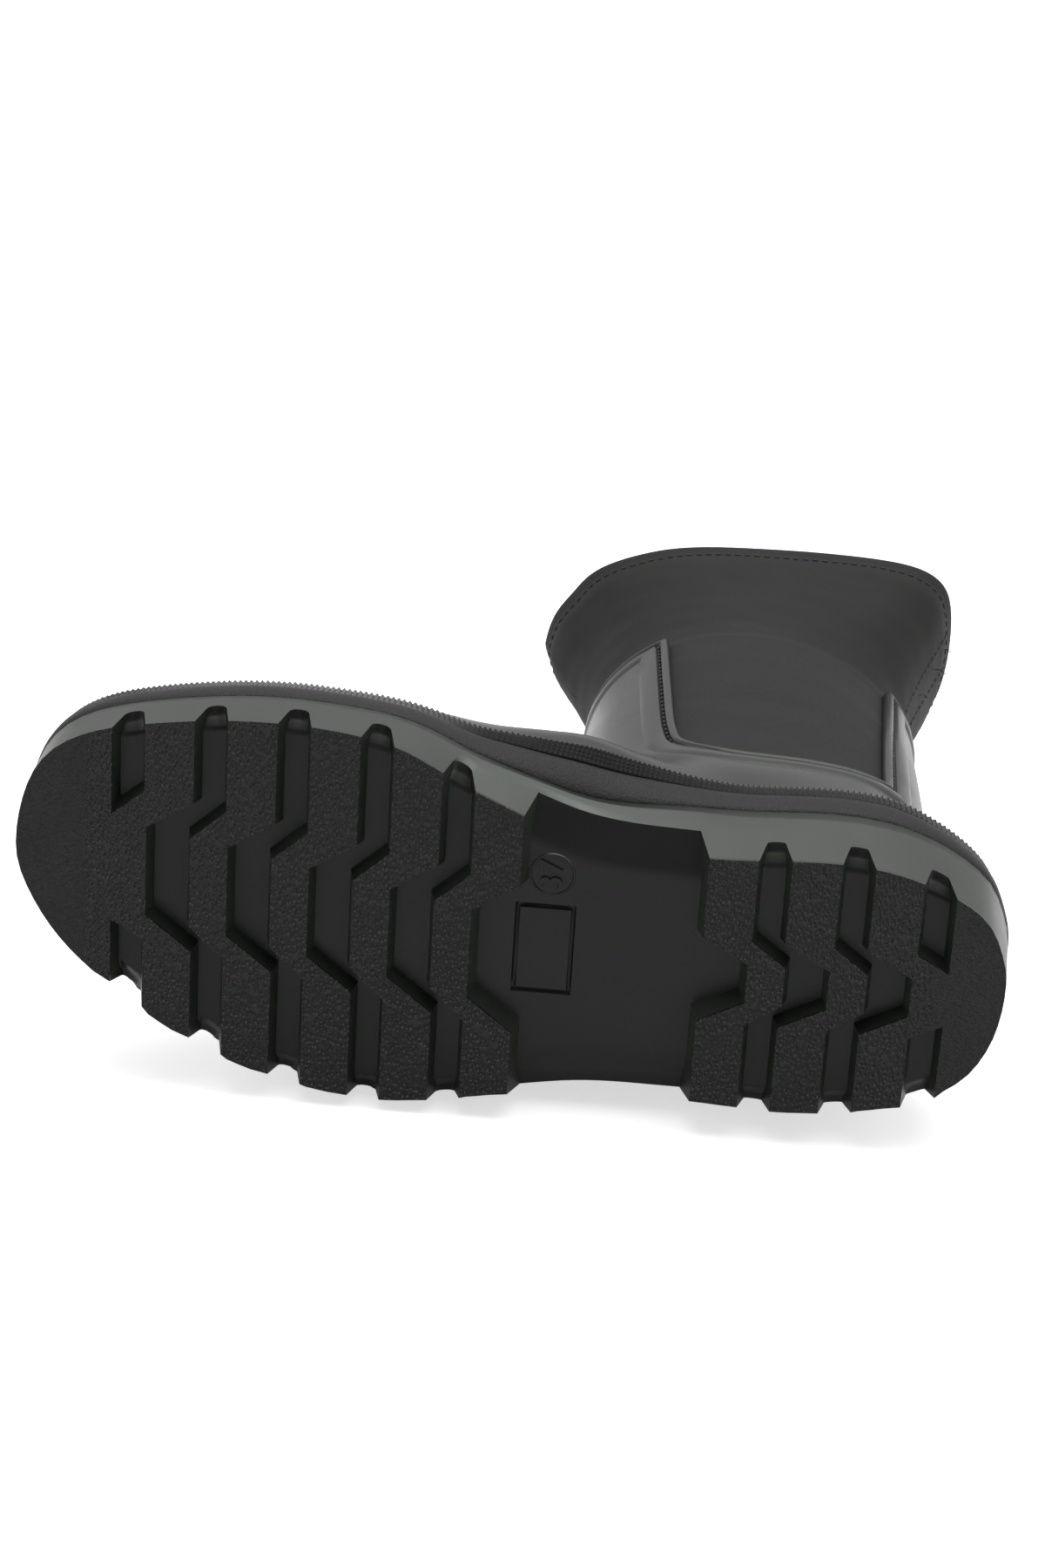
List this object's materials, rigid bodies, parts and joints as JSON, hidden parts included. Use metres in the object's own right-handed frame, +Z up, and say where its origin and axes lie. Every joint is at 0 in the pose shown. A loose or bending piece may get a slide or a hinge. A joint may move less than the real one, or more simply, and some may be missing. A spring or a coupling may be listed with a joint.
{
  "type": "rubber rain boot",
  "caption": "Mid-height rain boot for the right foot: chevron lug sole with raised heel, grained and knurled foxing, moulded rubber foot with front and back tabs, soft fabric leg.",
  "frame": {"origin": "centre of the sole's outline, on the plane of the tread", "axes": "+Z up, +Y to the heel, +X to the inner side of the foot"},
  "size_m": [0.1128, 0.2708, 0.2355],
  "materials": {
    "sole_rubber": "satin, fine speckled texture on the lug faces",
    "foxing_rubber": "leather grain",
    "strip_rubber": "knurled in small pyramids",
    "shell_rubber": "smooth satin",
    "leg_fabric": "matte coated fabric",
    "lining": "fine knit",
    "rubberised_fabric": "rubberised cotton",
    "seam_tape": "woven tape",
    "thread": "twisted polyester thread",
    "footbed": "knit cover on foam",
    "insole_board": "pressed fibre board",
    "filler_foam": "closed-cell foam",
    "shank_steel": "spring steel strip"
  },
  "bodies": {
    "root": {"outsole": "sole_rubber", "sole_filler": "filler_foam", "shank": "shank_steel", "heel_plug": "filler_foam", "insole_board": "insole_board", "footbed": "footbed", "foxing_band": "foxing_rubber", "knurled_strip": "strip_rubber", "foot_shell": "shell_rubber", "toe_reinforcement": "rubberised_fabric", "heel_reinforcement": "rubberised_fabric", "foot_lining": "lining", "leg_fabric": "leg_fabric", "leg_lining": "lining", "hem_facing": "leg_fabric", "back_seam_tape": "seam_tape", "collar_stitching": "thread", "hem_stitching": "thread", "back_seam_stitching": "thread"}
  },
  "joints": []
}
